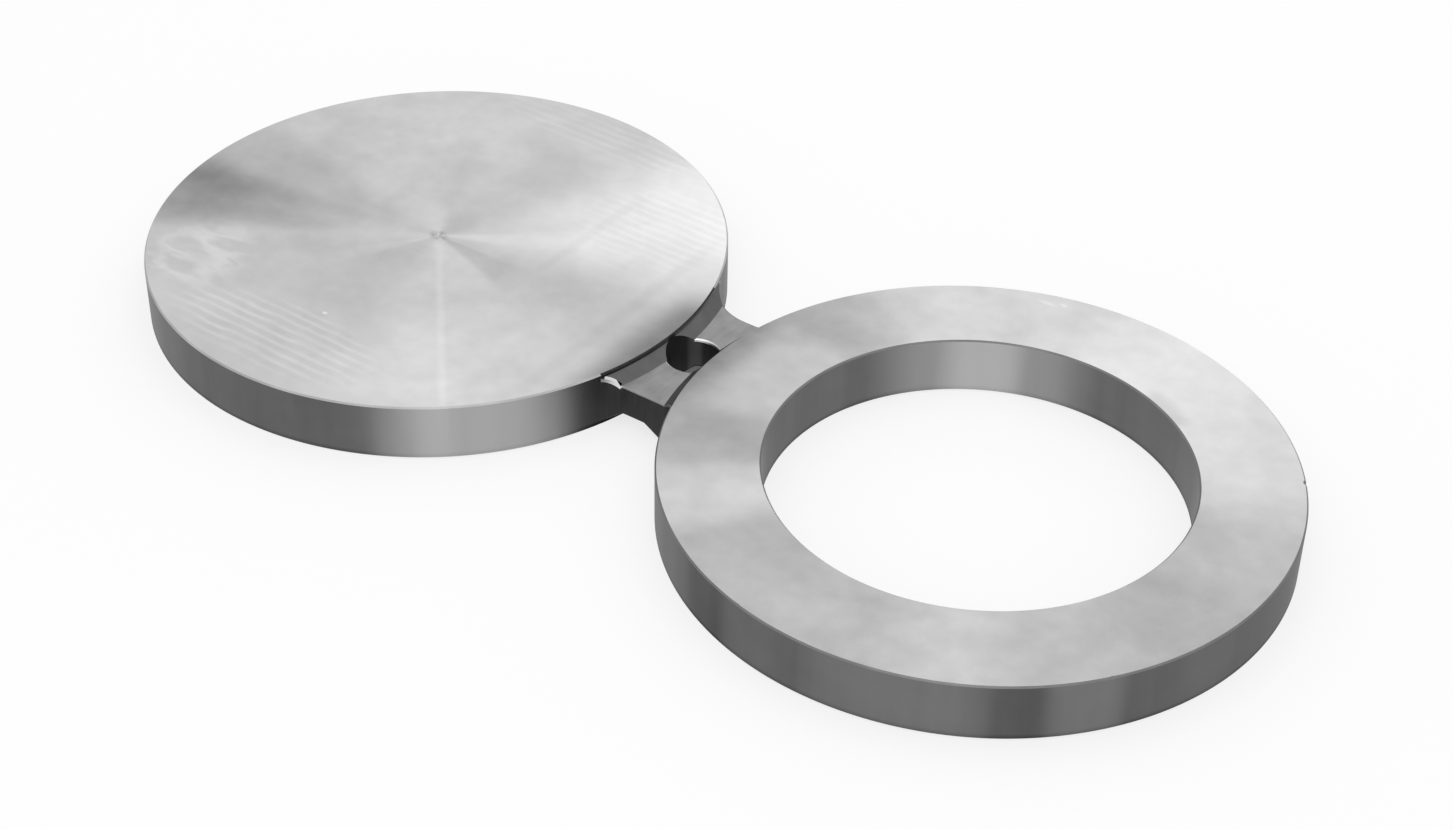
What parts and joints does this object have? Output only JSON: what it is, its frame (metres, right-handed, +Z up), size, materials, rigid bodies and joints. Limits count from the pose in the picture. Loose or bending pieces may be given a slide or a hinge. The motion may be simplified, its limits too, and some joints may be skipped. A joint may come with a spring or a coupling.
{
  "type": "spectacle blind",
  "caption": "Figure-eight line blind for a flanged pipe joint: a solid blank and an open spacer ring joined by a thin web with a bolt hole.",
  "frame": {"origin": "on the level of the lower faces, on the axis of the web's bolt hole, half way between the blank's and the ring's centres", "axes": "+Z up, along the bore; +X from the blank to the ring; +Y across the web"},
  "size_m": [0.403, 0.193, 0.0193],
  "materials": {
    "steel": "turned faces, satin, with light handling marks"
  },
  "bodies": {
    "root": {"spectacle_blind": "steel"}
  },
  "joints": []
}
